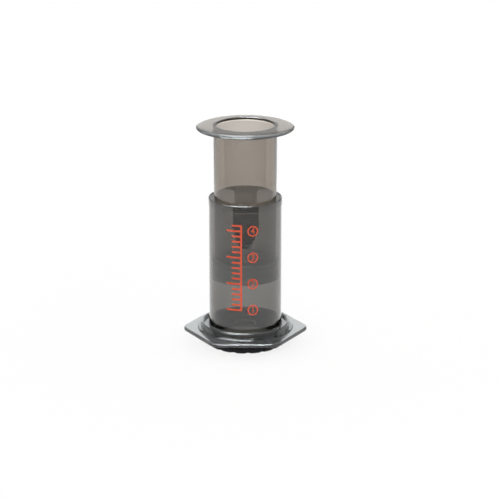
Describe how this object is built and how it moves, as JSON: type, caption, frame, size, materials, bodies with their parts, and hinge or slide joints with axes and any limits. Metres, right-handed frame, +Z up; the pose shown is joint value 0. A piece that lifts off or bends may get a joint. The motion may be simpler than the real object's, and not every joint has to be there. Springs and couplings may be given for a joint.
{
  "type": "piston coffee press",
  "caption": "Hand-worked piston coffee press: clear tube with a six-sided flange, hollow plunger with a domed brim and soft seal, and a twist-on drip cap with its paper.",
  "frame": {"origin": "on the tubes' axis, level with the foot of the filter cap that the press stands on", "axes": "+Z up along the tubes' axis, +X to the right of the front, -Y towards the front, which has the printed scale and a flat side of the flange"},
  "size_m": [0.1082, 0.097, 0.1974],
  "materials": {
    "chamber_plastic": "moulded clear smoke plastic, polished",
    "plunger_plastic": "moulded clear smoke plastic, polished",
    "seal_silicone": "translucent smoke silicone, satin",
    "cap_plastic": "moulded black plastic, satin",
    "filter_paper": "clean white filter paper, dry"
  },
  "bodies": {
    "chamber": {"chamber": "chamber_plastic"},
    "filter_cap": {"filter_cap": "cap_plastic", "paper_filter": "filter_paper"},
    "seal": {"plunger_seal": "seal_silicone"},
    "plunger": {"plunger": "plunger_plastic"}
  },
  "joints": [
    {"name": "cap_twist", "type": "hinge", "parent": "chamber", "child": "filter_cap", "pos_m": [0, 0, 0.008], "axis": [0, 0, -1], "range_deg": [0, 38]},
    {"name": "plunger_slide", "type": "slide", "parent": "chamber", "child": "seal", "axis": [0, 0, 1], "range_m": [-0.0576, 0.092]},
    {"name": "plunger_turn", "type": "hinge", "parent": "seal", "child": "plunger", "pos_m": [0, 0, 0.066], "axis": [0, 0, 1], "continuous": true}
  ]
}
